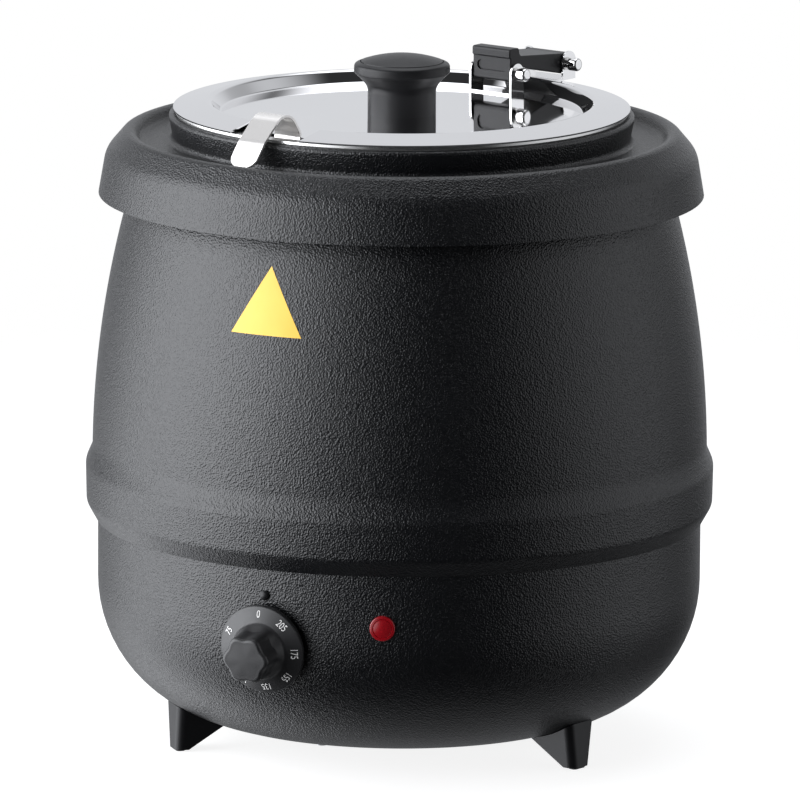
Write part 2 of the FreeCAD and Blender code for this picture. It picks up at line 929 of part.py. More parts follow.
def sensor_bulb():
    """The thermostat's copper bulb against the well, with its capillary tube."""
    tube_radius = 0.9
    bulb = turned("bulb_capsule", [
        (0, BULB_FOOT),
        rounded(BULB_RADIUS, BULB_FOOT, 2.5),
        rounded(BULB_RADIUS, BULB_FOOT + BULB_LENGTH, 2.5),
        (0, BULB_FOOT + BULB_LENGTH),
    ], FreeCAD.Placement(outward(BULB_AZIMUTH) * BULB_REACH, FreeCAD.Rotation()))
    back = DIAL.multVec(Vector(-9, 8, -THERMOSTAT_BACK - 1.3))
    capillary = tube_along("capillary", [
        polar(BULB_AZIMUTH, BULB_REACH, BULB_FOOT + 1),
        polar(BULB_AZIMUTH, BULB_REACH, BULB_FOOT - 8),
        polar(BULB_AZIMUTH + 3, BULB_REACH + 0.3, BULB_FOOT - 20),
        polar(BULB_AZIMUTH + 14, BULB_REACH + 0.5, 94),
        polar(BULB_AZIMUTH + 22, BULB_REACH + 0.8, 93),
        (back.x, back.y, back.z),
    ], tube_radius)
    return fused("sensor_bulb", [bulb, capillary])


def bulb_clip():
    """A band round the bulb, spot-welded to the well."""
    place = FreeCAD.Placement(outward(BULB_AZIMUTH) * BULB_REACH, FreeCAD.Rotation())
    return ring_of("bulb_clip", BULB_RADIUS + 0.02, BULB_RADIUS + 0.5, 150, 160, place)


# ---------------------------------------------------------------- controls


def control_knob():
    """A dial: a conical skirt for the numbers and a grip with six scallops."""
    rim = dim.dial_radius
    grip = dim.dial_grip_radius
    back, hub, bore_end = 1.5, 7, 18
    body = new_body("control_knob", DIAL)
    revolve(body, "knob_form", [
        (dim.shaft_radius, back),
        (hub, back),
        (hub, 5),
        (rim - 3.5, 4),
        (rim - 2, back),
        rounded(rim, back, 0.5),
        rounded(rim, 4.4, 0.8),
        (grip + 1.6, 8.0),
        rounded(grip + 0.5, 9.6, 1.2),
        rounded(grip - 0.2, dim.dial_stand, 1.4),
        (0, dim.dial_stand + 0.4),
        (0, bore_end),
        (dim.shaft_radius, bore_end),
    ])
    scallop = pocket(body, "knob_scallop", discs((0, grip + 7.6, 9.5)), 30,
                     plane="XY_Plane", lift=9.2, symmetric=False, backwards=True)
    around(body, "knob_scallops", scallop, 6)
    return body


def thermostat_shaft():
    return turned("thermostat_shaft", [
        (0, -20),
        (dim.shaft_radius, -20),
        (dim.shaft_radius, 17.4),
        (dim.shaft_radius - 0.6, 18),
        (0, 18),
    ], DIAL)


def thermostat_body():
    """The switch behind the dial, with its bushing against the bowl's inside."""
    body = new_body("thermostat_body", DIAL)
    half_width, half_height = 19, 17

    def case(sketch):
        outline(sketch, [
            rounded(-half_width, -half_height, 3),
            rounded(half_width, -half_height, 3),
            rounded(half_width, half_height, 3),
            rounded(-half_width, half_height, 3),
        ])
    extrude(body, "thermostat_case", case, THERMOSTAT_BACK - THERMOSTAT_FRONT,
            plane="XY_Plane", lift=-THERMOSTAT_BACK, symmetric=False)
    spots = [(0, 0, 6.5), (-SCREW_SPREAD, 0, 4), (SCREW_SPREAD, 0, 4)]
    for i, (x, y, radius) in enumerate(spots):
        reach = 4.4 if i == 0 else 3.2
        extrude(body, f"thermostat_boss{i}", discs((x, y, radius)), reach,
                plane="XY_Plane", lift=-THERMOSTAT_FRONT, symmetric=False)
    pocket(body, "thermostat_bore", discs((0, 0, dim.shaft_radius + 0.06)), 20,
           plane="XY_Plane", lift=-21, symmetric=False, backwards=True)
    pocket(body, "thermostat_pilots",
           discs((-SCREW_SPREAD, 0, 1.5), (SCREW_SPREAD, 0, 1.5)), 13,
           plane="XY_Plane", lift=-14, symmetric=False, backwards=True)
    return body


def thermostat_terminals():
    back = turned_over(beside(DIAL, 0, 0, -THERMOSTAT_BACK))
    return blades("thermostat_terminals", back, [(-4, 8), (4, 8), (12, 8)], 6.3, 0.8, 5)


def thermostat_screws():
    head_seat = -0.3
    return grouped("thermostat_screws", [
        screw(f"thermostat_screw{side}",
              turned_over(beside(DIAL, side * SCREW_SPREAD, 0, head_seat)), 1.5, 2.4, 11)
        for side in (-1, 1)])


def index_stud():
    """The small domed stud over the dial that its numbers are read against."""
    return turned("index_stud", [
        (0, -4),
        (INDEX_SHANK, -4),
        (INDEX_SHANK, 0),
        (INDEX_HEAD, 0),
        (INDEX_HEAD, 1),
        dome_to(INDEX_HEAD, 1, 2.2),
    ], STUD)


def lamp_lens():
    neck = dim.lamp_hole - 0.1
    return turned("lamp_lens", [
        (0, -3),
        (neck, -3),
        (neck, 0),
        (dim.lamp_radius, 0),
        rounded(dim.lamp_radius, 1.7, 0.6),
        (5.3, 2.0),
        (5.0, 1.6),
        (4.7, 2.0),
        dome_to(4.7, 2.0, 2.7),
    ], LAMP)


def lamp_body():
    neck = dim.lamp_hole - 0.1
    return turned("lamp_body", [
        (0, -24),
        rounded(4.4, -24, 1),
        (neck, -20),
        (neck, -3),
        (0, -3),
    ], LAMP)


def lamp_nut():
    return ring_of("lamp_nut", dim.lamp_hole - 0.08, 8, -4, -1.35, LAMP)


def lamp_terminals():
    back = turned_over(beside(LAMP, 0, 0, -24))
    return blades("lamp_terminals", back, [(-2.2, 0), (2.2, 0)], 2.8, 0.5, 5)


# ---------------------------------------------------------------- supply


def block_place():
    """On the bowl's lip near the cord's entry, +Z up and local +X outward."""
    place = facing(dim.cord_azimuth.value)
    place.Base = outward(dim.cord_azimuth.value) * BLOCK_REACH + UP * BLOCK_FOOT
    return place


def terminal_block():
    body = new_body("terminal_block", block_place())

    def plan(sketch):
        outline(sketch, [(-11, -20), (11, -20), (11, 20), (-11, 20)])
    extrude(body, "terminal_case", plan, BLOCK_HEIGHT, plane="XY_Plane", symmetric=False)
    wells = [(x, y, 2.6) for y in BLOCK_WELLS for x in (-5.5, 5.5)]
    pocket(body, "terminal_wells", discs(*wells), 9, plane="XY_Plane", lift=BLOCK_HEIGHT,
           symmetric=False)
    return body


def terminal_screws():
    return grouped("terminal_screws", [
        ring_of(f"terminal_screw{i}", 0.6, 2.5, BLOCK_HEIGHT - 9, BLOCK_HEIGHT - 6,
                beside(block_place(), 5.5 * (1 if i % 2 else -1), BLOCK_WELLS[i // 2]))
        for i in range(2 * len(BLOCK_WELLS))])


def cord_gland():
    """A moulded strain relief snapped into the bowl, with a tapered boot outside."""
    bore = dim.cord_radius + 0.35
    return turned("cord_gland", [
        (bore, -6),
        (GLAND_NECK - 1.2, -6),
        (GLAND_NECK + 1.6, -2.6),
        (GLAND_NECK + 1.6, -1.7),
        (GLAND_NECK, -1.7),
        (GLAND_NECK, 0.1),
        (9.5, 0.1),
        rounded(9.5, 3, 0.8),
        (6.6, 3.4),
        rounded(5, 17, 0.8),
        (bore, 17),
    ], CORD_EXIT)


def power_cord():
    """The supply cord: out of the gland, over a flat hank into its middle, and on to the plug."""
    hank_reach = 128
    hank = FreeCAD.Placement(Vector(*polar(dim.cord_azimuth.value, hank_reach, 0)),
                             facing(dim.cord_azimuth.value).Rotation)
    rest = dim.cord_radius.value + 0.3
    crossing = rest + 2 * dim.cord_radius.value + 0.6
    inner, pitch, sides = 11.0, 7.2, 10
    inside, gland_end, drop = -12, 18, 35
    path = [CORD_EXIT.multVec(Vector(0, 0, z)) for z in (inside, gland_end, drop)]
    hank_edge = inner + 27
    x, y = -inner, 0.0
    path += [hank.multVec(Vector(*spot)) for spot in (
        (hank_edge, 0, crossing), (inner + 2, 0, crossing), (x, y, rest))]
    for side in range(1, sides + 1):
        reach = inner + pitch * side / 4
        quarter = math.radians(90 * side)
        if side % 2:
            y = reach * math.sin(quarter)
        else:
            x = -reach * math.cos(quarter)
        path.append(hank.multVec(Vector(x, y, rest)))
    tail = plug_place().multVec(Vector(-2, 0, 0))
    path.append(hank.multVec(Vector(x, -6, rest)))
    path.append(tail + Vector(-36, -3, rest - tail.z))
    path.append(tail + Vector(-18, 0, 0))
    path.append(tail)
    return tube_along("power_cord", path, dim.cord_radius.value, bend=30.0)


def plug_place():
    """Behind the kettle, where the plug lies, with local +X along its pins."""
    return FreeCAD.Placement(Vector(6, 143.5, 11.3), FreeCAD.Rotation())


def plug_body():
    body = new_body("plug_body", plug_place())

    def end_view(sketch):
        outline(sketch, [rounded(-12.5, -11, 3), rounded(12.5, -11, 3),
                         rounded(12.5, 11, 3), rounded(-12.5, 11, 3)])
    extrude(body, "plug_moulding", end_view, PLUG_LENGTH, plane="YZ_Plane", symmetric=False)
    soften(body, "plug_edges", 2, lambda edge: edge.BoundBox.XMax < 0.01)
    pocket(body, "plug_cord_hole", discs((0, 0, dim.cord_radius + 0.05)), 8,
           plane="YZ_Plane", symmetric=False, backwards=True)
    return body


def plug_pins():
    """Two flat blades and a round earth pin."""
    face = beside(plug_place(), PLUG_LENGTH, 0, 0) * FreeCAD.Placement(
        Vector(), FreeCAD.Rotation(Vector(0, 1, 0), 90))
    spots = ((-BLADE_RISE, -6.35), (-BLADE_RISE, 6.35))
    members = [block(f"plug_blade{i}", 6.3, 1.5, 17, beside(face, x, y))
               for i, (x, y) in enumerate(spots)]
    members.append(drill("plug_earth_pin", 2.4, beside(face, BLADE_RISE, 0), 0, 19))
    return grouped("plug_pins", members)


def core_start(side):
    """Where a core leaves the sheathed cord inside the bowl."""
    spot = CORD_EXIT.multVec(Vector(side * 2.6, 0.5 - abs(side), -12.6))
    return (spot.x, spot.y, spot.z)


def block_top(column, row):
    """Just above a terminal screw's well: row -1 is the inner side, +1 the outer."""
    spot = block_place().multVec(Vector(5.5 * row, BLOCK_WELLS[column], BLOCK_HEIGHT - 5.4))
    return (spot.x, spot.y, spot.z)


def above(point, rise):
    return (point[0], point[1], point[2] + rise)


def wire_from_cord(name, side, column):
    end = block_top(column, 1)
    start = core_start(side)
    inward = CORD_EXIT.Rotation.multVec(Vector(0, 0, -1)) * 7
    near = (start[0] + inward.x, start[1] + inward.y, start[2] + inward.z)
    return tube_along(name, [start, near, above(end, 14), end], dim.wire_radius.value)


def earth_place():
    return FreeCAD.Placement(
        outward(EARTH_AZIMUTH) * EARTH_REACH + UP * (dim.bowl_base + dim.shell_gauge).value,
        FreeCAD.Rotation())


def earth_stud():
    return turned("earth_stud", [(0, 0), (2, 0), (2, 11), (1.5, 11.5), (0, 11.5)],
                  earth_place())


def earth_nut():
    return nut("earth_nut", 2.02, 7, 3.2, earth_place() * lifted(5))


def wire_earth():
    start = core_start(-1)
    inward = CORD_EXIT.Rotation.multVec(Vector(0, 0, -1)) * 8
    near = (start[0] + inward.x, start[1] + inward.y, start[2] + inward.z)
    tag = polar(EARTH_AZIMUTH, EARTH_REACH, (dim.bowl_base + dim.shell_gauge).value + 12.8)
    return tube_along("wire_earth", [
        start, near, polar(-160, 92, 44), above(tag, 8), tag], dim.wire_radius.value)


def heater_leads():
    """Four insulated leads: block to thermostat, cut-out and the heater's two ends."""
    gauge = dim.wire_radius.value
    blade = THERMOSTAT_BACK + 6.6
    first = DIAL.multVec(Vector(4, -8, -blade))
    second = DIAL.multVec(Vector(12, -8, -blade))
    cut_foot = cutout_place() * lifted(CUTOUT_DEPTH + CUTOUT_BLADE + 1.5)
    cut_a = cut_foot.multVec(Vector(-3.5, 0, 0))
    cut_b = cut_foot.multVec(Vector(3.5, 0, 0))
    legs = [polar(a, dim.heater_radius.value, heater_height().value - HEATER_LEG - 1.4)
            for a in HEATER_ENDS]
    live = block_top(0, -1)
    neutral = block_top(2, -1)
    return grouped("heater_leads", [
        tube_along("lead_feed", [live, above(live, 14), polar(170, 66, 46), polar(100, 88, 42),
                                 polar(45, 100, 44), polar(5, 112, 52),
                                 (first.x, first.y, first.z - 14),
                                 (first.x, first.y, first.z - 3.4)], gauge),
        tube_along("lead_switched", [(second.x, second.y, second.z - 3.4),
                                     (second.x, second.y, second.z - 16),
                                     polar(-20, 84, 52), polar(-45, 60, 52),
                                     (cut_a.x, cut_a.y, cut_a.z - 10),
                                     (cut_a.x, cut_a.y, cut_a.z - 1.5)], gauge),
        tube_along("lead_heater", [(cut_b.x, cut_b.y, cut_b.z - 1.5),
                                   (cut_b.x, cut_b.y, cut_b.z - 9),
                                   polar(-74, 64, 50), above(legs[0], -8), legs[0]], gauge),
        tube_along("lead_return", [neutral, above(neutral, 12), polar(-128, 80, 48),
                                   above(legs[1], -7), legs[1]], gauge),
    ])


def lamp_leads():
    """Two thin leads from the lamp to the thermostat's side of the circuit."""
    gauge = 0.8
    starts = [LAMP.multVec(Vector(x, 0, -30.2)) for x in (-2.2, 2.2)]
    ends = [DIAL.multVec(Vector(x, -2, -THERMOSTAT_BACK - 1.6)) for x in (10, 14)]
    nears = [DIAL.multVec(Vector(x, -2, -THERMOSTAT_BACK - 7)) for x in (11, 16)]
    return grouped("lamp_leads", [
        tube_along(f"lamp_lead{i}", [
            (a.x, a.y, a.z),
            (a.x * 0.96, a.y * 0.97, a.z - 3 - 3 * i),
            (c.x, c.y, c.z),
            (b.x, b.y, b.z)], gauge)
        for i, (a, b, c) in enumerate(zip(starts, reversed(ends), reversed(nears)))])


def front_sticker():
    """A blank triangular sticker that follows the barrel."""
    base_height, apex_height, azimuth = 247, 283, -12.6
    circumradius = (apex_height - base_height) / 1.5
    skin = sheet_ring("sticker_skin", [
        (dim.barrel_foot_radius, dim.barrel_foot),
        arc_to(dim.barrel_top_radius, dim.valley_height - dim.shell_gauge, -dim.barrel_bow),
    ], -0.15)
    triangle = doc.addObject("Part::Prism", "sticker_triangle")
    triangle.Polygon = 3
    triangle.Circumradius = circumradius
    triangle.Height = 60
    out = outward(azimuth)
    triangle.Placement = FreeCAD.Placement(
        out * 120 + UP * (base_height + circumradius / 2),
        FreeCAD.Rotation(UP, out.cross(UP), out, "ZXY"))
    sticker = doc.addObject("Part::MultiCommon", "front_sticker")
    sticker.Shapes = [skin, triangle]
    return sticker


# ---------------------------------------------------------------- pot


def inner_pot():
    wall = sheet_ring("inner_pot_drawn", [
        (dim.pot_flange, dim.pot_rim),
        rounded(dim.pot_radius, dim.pot_rim, 3),
        rounded(dim.pot_radius, dim.pot_floor, 24),
        (0, dim.pot_floor),
    ], dim.pot_gauge)
    return drilled("inner_pot", wall, [
        drill(f"pot_rivet_hole{i}", RIVET_RADIUS, place) for i, place in
        enumerate(rivet_places())])


def rivet_places():
    return [spoke(dim.hinge_azimuth.value - 180, CLIP_LEG_REACH, height)
            for height in RIVET_HEIGHTS]


def pot_clip():
    """A polished strip riveted inside the pot, arched out over the rim as a lifting tab."""
    strip = doc.addObject("Part::Extrusion", "pot_clip_strip")
    strip.Base = sheet_section("pot_clip", [
        (CLIP_LEG_REACH, RIVET_HEIGHTS[0] - 5),
        rounded(CLIP_LEG_REACH, RIVET_HEIGHTS[1] + 4.5, 4),
        rounded(dim.ladle_notch_depth + 2.2, dim.pot_rim - 1.3, 5),
        rounded(dim.pot_radius - 0.2, dim.pot_rim + 15.6, 10),
        rounded(dim.pot_radius + 19, dim.pot_rim - 1.1, 14),
        (dim.valley_outer + 0.3, dim.valley_height + 3.4),
    ], dim.clip_gauge)
    strip.DirMode = "Custom"
    strip.Dir = Vector(0, 1, 0)
    strip.Symmetric = True
    bind(strip, "LengthFwd", dim.clip_width)
    strip.Solid = True
    doc.recompute()
    tip = doc.addObject("Part::Fillet", "pot_clip_bent")
    tip.Base = strip
    tip.Edges = [(i, 6.5, 6.5) for i, edge in enumerate(strip.Shape.Edges, 1)
                 if edge.Length < 1.5 and edge.BoundBox.ZMax < 340
                 and edge.BoundBox.XMin > dim.pot_radius.value + 10]
    tip.Placement = LADLE_SIDE
    return drilled("pot_clip", tip, [
        drill(f"clip_rivet_hole{i}", RIVET_RADIUS, place) for i, place in
        enumerate(rivet_places())])


def pot_clip_rivets():
    """Rivets through the strip's leg and the pot's wall."""
    inner = -dim.clip_gauge.value
    outer = dim.pot_radius.value + dim.pot_gauge.value - CLIP_LEG_REACH
    return grouped("pot_clip_rivets", [
        turned(f"pot_rivet{i}", [
            (0, inner - 1),
            rounded(2.8, inner - 1, 0.6),
            (2.8, inner),
            (RIVET_RADIUS, inner),
            (RIVET_RADIUS, outer + 0.05),
            (2.6, outer + 0.05),
            rounded(2.6, outer + 0.8, 0.5),
            (0, outer + 0.8),
        ], place) for i, place in enumerate(rivet_places())])


# ---------------------------------------------------------------- hinge


def cheek_span():
    return (dim.ear_spread + dim.ear_gauge) * 2


def bracket(name, ear, base_start, base_end, base_bottom, pin_reach, pin_height):
    """A folded sheet with two upright ears either side of the link, and a pin hole."""
    body = new_body(name, HINGE)
    extrude(body, name + "_ears", shape_of(ear), cheek_span())
    pocket(body, name + "_gap", shape_of([
        (base_start - 5, base_bottom + dim.ear_gauge),
        (base_end + 5, base_bottom + dim.ear_gauge),
        (base_end + 5, base_bottom + 30),
        (base_start - 5, base_bottom + 30),
    ]), dim.ear_spread * 2)
    pocket(body, name + "_pin_hole", discs((pin_reach, pin_height, dim.pin_radius)), 60)
    return body


def front_hinge_bracket():
    """The bracket spot-welded on the lid's panel."""
    half = dim.ear_width / 2
    reach, height, base = dim.front_pin_reach, dim.front_pin_height, dim.lid_panel_height
    ear = [
        (reach - half, base),
        (reach + half, base),
        rounded(reach + half, height + half, half - 0.05),
        rounded(reach - half, height + half, half - 0.05),
    ]
    return bracket("front_hinge_bracket", ear, reach - half, reach + half, base, reach, height)


def rear_hinge_bracket():
    """The bracket welded on the pot's flange, reaching out past the lid's edge."""
    crown = 7
    reach, height, base = dim.rear_pin_reach, dim.rear_pin_height, dim.pot_rim
    foot_start = dim.pot_radius + 3
    ear = [
        (foot_start, base),
        (reach + 6, base),
        rounded(reach + 6, height - 4.5, 3),
        rounded(reach + crown, height + crown, crown - 0.8),
        rounded(reach - crown, height + crown, crown - 0.8),
        rounded(reach - 5.5, height - 4.5, 3),
        (reach - 5.5, base + dim.ear_gauge),
        (foot_start, base + dim.ear_gauge),
    ]
    return bracket("rear_hinge_bracket", ear, foot_start, reach + 6, base, reach, height)


def hinge_link():
    """One moulding: a barrel on the rear pin, an arm, and a ridged block on the front pin."""
    front, front_z = dim.front_pin_reach, dim.front_pin_height
    rear, rear_z = dim.rear_pin_reach, dim.rear_pin_height
    body = new_body("hinge_link", HINGE)
    extrude(body, "link_side", shape_of([
        rounded(front - 4.3, front_z - 4.3, 2.4),
        (front - 4.3, front_z + 8.6),
        rounded(front - 5.3, front_z + 9.6, 0.5),
        rounded(front - 5.3, front_z + 14, 1.4),
        rounded(front + 3.4, front_z + 14, 1.4),
        rounded(front + 4, front_z + 9.4, 3),
        rounded(rear - 4, rear_z + 6.1, 12),
        rounded(rear + 6, rear_z + 6.1, 5.4),
        rounded(rear + 6, rear_z - 5.1, 5.2),
        rounded(rear - 4.6, rear_z - 5.1, 5),
        rounded(front + 7.5, front_z + 2.7, 2.5),
        rounded(front + 4.9, front_z + 1.0, 1.0),
        rounded(front + 4.9, front_z - 4.3, 2.4),
    ]), dim.link_width)
    bore = dim.pin_radius + dim.pin_clearance
    pocket(body, "link_bores", discs((front, front_z, bore), (rear, rear_z, bore)), 60)
    slot_end, slot_foot, slot_top = 10, front_z + 1.2, front_z + 6.6

    def slot(sketch):
        outline(sketch, [
            rounded(-slot_end, slot_foot, 2.6),
            rounded(slot_end, slot_foot, 2.6),
            rounded(slot_end, slot_top, 2.6),
            rounded(-slot_end, slot_top, 2.6),
        ])
    pocket(body, "link_recess", slot, 1.0, plane="YZ_Plane", lift=front - 4.3,
           symmetric=False, backwards=True)
    soften(body, "link_edges", 0.7, link_rim_edge)
    return body


def link_rim_edge(edge):
    """Picks the outline edges of the link's two sides, away from the bores."""
    box = edge.BoundBox
    half = dim.link_width.value / 2
    on_side = box.YLength < 1e-3 and abs(abs(box.YMin) - half) < 1e-3
    is_bore = len(edge.Vertexes) == 1
    return on_side and not is_bore


def hinge_pin(name, reach, height):
    """A headed pin along local -Y of the hinge, longer on that side."""
    grip = dim.ear_spread + dim.ear_gauge
    turn = FreeCAD.Rotation(Vector(1, 0, 0), 90)
    place = HINGE * FreeCAD.Placement(Vector(reach.value, 0, height.value), turn)
    head = dim.pin_head_radius
    return turned(name, [
        (0, -grip - 2.5),
        rounded(head, -grip - 2.5, 1.2),
        (head, -grip),
        (dim.pin_radius, -grip),
        (dim.pin_radius, grip + 1.2),
        (head, grip + 1.2),
        rounded(head, grip + 6.8, 1.4),
        (0, grip + 6.8),
    ], place)


# ---------------------------------------------------------------- lid


def notch(name, side, width, depth):
    """A cutter for a notch in the lid's rim, with rounded inner corners."""
    body = new_body(name, side)
    half = width / 2
    extrude(body, name + "_plan", shape_of([
        rounded(depth, -half, dim.notch_rounding),
        (dim.lid_radius + 10, -half),
        (dim.lid_radius + 10, half),
        rounded(depth, half, dim.notch_rounding),
    ]), 30, plane="XY_Plane", lift=dim.lid_panel_height - 15, symmetric=False)
    return body


def lid_panel():
    pressing = sheet_ring("lid_pressing", [
        (dim.lid_radius, dim.lid_edge),
        rounded(dim.lid_crest_radius, dim.lid_crest, 3.5),
        rounded(dim.lid_panel_radius, dim.lid_panel_height, 2),
        (0, dim.lid_panel_height),
    ], dim.lid_gauge)
    return drilled("lid_panel", pressing, [
        notch("ladle_notch", LADLE_SIDE, dim.ladle_notch_width, dim.ladle_notch_depth),
        notch("hinge_notch", HINGE, dim.hinge_notch_width, dim.hinge_notch_depth),
        drill("grip_screw_hole", dim.grip_bore + 0.2, lifted(dim.lid_panel_height)),
    ])


def lid_knob():
    """A mushroom grip with a stepped head and a shallow dome."""
    base, stem, head = dim.lid_panel_height, dim.grip_stem_radius, dim.grip_head_radius
    top = base + dim.grip_height
    return turned("lid_knob", [
        (dim.grip_bore, base),
        (stem, base),
        rounded(stem, base + 14.6, 8),
        rounded(head - 2.6, base + 20.0, 2),
        rounded(head, base + 22.4, 1.4),
        rounded(head - 0.3, base + 26.8, 2),
        (head - 3.4, base + 28.0),
        (head - 3.7, base + 27.4),
        (head - 4.0, base + 28.3),
        dome_to(head - 4.0, base + 28.3, top),
        (0, base + 16),
        (dim.grip_bore, base + 16),
    ])


def lid_knob_washer():
    underside = dim.lid_panel_height - dim.lid_gauge
    return ring_of("lid_knob_washer", 3.2, 9, underside - 1.2, underside)


def lid_knob_screw():
    seat = dim.lid_panel_height - dim.lid_gauge - 1.2
    return screw("lid_knob_screw", lifted(seat), dim.grip_bore.value - 0.02, 5.5, 14)


# ---------------------------------------------------------------- the kettle


def build():
    """Makes every sub-part and returns them."""
    made = [
        lower_shell(), upper_shell(), top_collar(), base_cover(), foot_pads(), foot_screws(),
        base_cover_screws(), well_pan(), well_seal(), insulation_blanket(), heater_ring(),
        heater_clamp(), centre_stud(), centre_nuts(), thermal_cutout(), cutout_terminals(),
        sensor_bulb(), bulb_clip(), control_knob(), thermostat_shaft(), thermostat_body(),
        thermostat_terminals(), thermostat_screws(), index_stud(), lamp_lens(), lamp_body(),
        lamp_nut(), lamp_terminals(), terminal_block(), terminal_screws(), cord_gland(),
        power_cord(), plug_body(), plug_pins(), wire_from_cord("wire_live", 0, 0),
        wire_from_cord("wire_neutral", 1, 2), wire_earth(), earth_stud(), earth_nut(),
        heater_leads(), lamp_leads(), front_sticker(), inner_pot(), pot_clip(),
        pot_clip_rivets(), rear_hinge_bracket(), front_hinge_bracket(), hinge_link(),
        hinge_pin("rear_hinge_pin", dim.rear_pin_reach, dim.rear_pin_height),
        hinge_pin("front_hinge_pin", dim.front_pin_reach, dim.front_pin_height),
        lid_panel(), lid_knob(), lid_knob_washer(), lid_knob_screw(),
    ]
    made += [foot(name, azimuth) for name, azimuth in FEET.items()]
    return made


def save(parts):
    """Checks the whole document, then writes one STEP file for each sub-part."""
    doc.recompute()
    failed = [thing.Name for thing in doc.Objects
              if {"Invalid", "Error"} & set(thing.State)]
    if failed:
        raise RuntimeError(f"these objects failed: {failed}")
    for part in parts:
        if part.Shape.isNull() or not part.Shape.isValid() or not part.Shape.Solids:
            raise RuntimeError(f"{part.Label} has no valid solid")
    os.makedirs("parts", exist_ok=True)
    for part in parts:
        part.Shape.exportStep(f"parts/{part.Label}.step")


save(build())
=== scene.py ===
"""The looks of the round soup kettle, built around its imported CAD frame.

Fine shells, collar, pot, lid, lid grip and dial stand for the plain CAD ones, the dial gets its
numbers, and every piece gets a procedural material. Profiles are in millimetres, as
(radius, height[, rounding]) about the kettle's axis, and the dial's about its own. All but the
dial's are fitted to the box of the CAD node that they stand for.
"""

import json
import math

import bmesh
import bpy
from mathutils import Matrix, Vector


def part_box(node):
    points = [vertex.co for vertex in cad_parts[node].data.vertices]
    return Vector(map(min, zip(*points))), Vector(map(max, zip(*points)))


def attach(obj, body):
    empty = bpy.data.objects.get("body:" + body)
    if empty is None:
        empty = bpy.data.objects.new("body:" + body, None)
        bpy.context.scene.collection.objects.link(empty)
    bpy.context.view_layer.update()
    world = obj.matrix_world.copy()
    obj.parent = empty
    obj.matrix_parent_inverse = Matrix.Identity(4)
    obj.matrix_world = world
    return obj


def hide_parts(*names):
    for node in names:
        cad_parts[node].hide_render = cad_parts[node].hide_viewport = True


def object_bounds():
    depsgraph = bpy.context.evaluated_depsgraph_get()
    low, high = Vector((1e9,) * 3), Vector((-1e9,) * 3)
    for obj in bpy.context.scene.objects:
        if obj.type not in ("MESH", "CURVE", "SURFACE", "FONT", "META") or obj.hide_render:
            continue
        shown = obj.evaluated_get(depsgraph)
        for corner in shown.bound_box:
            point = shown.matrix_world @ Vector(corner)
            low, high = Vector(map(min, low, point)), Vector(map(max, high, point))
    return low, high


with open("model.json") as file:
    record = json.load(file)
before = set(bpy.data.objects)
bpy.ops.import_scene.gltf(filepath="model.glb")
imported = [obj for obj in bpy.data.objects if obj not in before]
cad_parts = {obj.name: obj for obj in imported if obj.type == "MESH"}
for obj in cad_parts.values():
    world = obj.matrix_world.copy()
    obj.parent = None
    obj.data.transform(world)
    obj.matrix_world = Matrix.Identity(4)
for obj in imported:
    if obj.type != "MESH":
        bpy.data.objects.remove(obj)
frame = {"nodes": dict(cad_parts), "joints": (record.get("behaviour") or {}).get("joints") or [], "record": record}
cad_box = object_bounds()

MM = 0.001
TURN_STEPS = 360
ARC_STEP = math.radians(5)
SHARP_ANGLE = math.radians(32)
ON_AXIS = 1e-4
SHELL_GAUGE = 1.0
POT_GAUGE = 0.7
LID_GAUGE = 0.8
VIEW_AZIMUTH = 14.2
VIEW_ELEVATION = 11.2


def joint(name):
    """The frame's record of a joint."""
    return next(j for j in frame["joints"] if j["name"] == name)


def outward(azimuth):
    """The level unit vector at an azimuth, counted from the front towards +X, in degrees."""
    turn = math.radians(azimuth)
    return Vector((math.sin(turn), -math.cos(turn), 0))


# ---------------------------------------------------------------- profiles


def swung(centre, start, end, steps):
    """Points of the shorter arc about a centre from start to end."""
    first, last = start - centre, end - centre
    radius = first.length
    return [centre + first.slerp(last, k / steps) * radius for k in range(steps + 1)]


def rounded_path(corners):
    """Points of a run through (radius, height[, rounding]) corners, with arcs for roundings."""
    places = [Vector(c[:2]) for c in corners]
    path = []
    for i, corner in enumerate(corners):
        here = places[i]
        if len(corner) == 2:
            path.append(here)
            continue
        back, ahead = (places[i - 1] - here).normalized(), (places[i + 1] - here).normalized()
        half = (math.pi - back.angle(ahead)) / 2
        reach = corner[2] * math.tan(half)
        centre = here + (back + ahead).normalized() * (corner[2] / math.cos(half))
        steps = max(2, math.ceil(2 * half / ARC_STEP))
        path += swung(centre, here + back * reach, here + ahead * reach, steps)
    return path


def bowed_run(start, end, bow, steps=40):
    """Points of an arc from start up to end that bulges outwards."""
    start, end = Vector(start), Vector(end)
    chord = end - start
    middle = (start + end) / 2
    inward = Vector((-chord.y, chord.x)).normalized()
    centre = middle + inward * math.sqrt(bow * bow - chord.length_squared / 4)
    return swung(centre, start, end, steps)


def sheet_loop(path, gauge):
    """The closed section of a sheet that lies to the left of the way along a path."""
    moved = []
    for i, here in enumerate(path):
        into = (here - path[i - 1]).normalized() if i else None
        out = (path[i + 1] - here).normalized() if i + 1 < len(path) else into
        along = ((into or out) + out).normalized()
        moved.append(here + Vector((-along.y, along.x)) * gauge)
    return path + moved[::-1]


def fitted(node, loop):
    """The loop scaled and lifted, by hairs, to fill its CAD node's box exactly."""
    low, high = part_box(node)
    widest = max(p.x for p in loop)
    bottom, top = min(p.y for p in loop), max(p.y for p in loop)
    spread = min(high.x, high.y, -low.x, -low.y) / MM / widest
    rise = (high.z - low.z) / MM / (top - bottom)
    return [Vector((p.x * spread, low.z / MM + (p.y - bottom) * rise)) for p in loop]


# ---------------------------------------------------------------- meshes


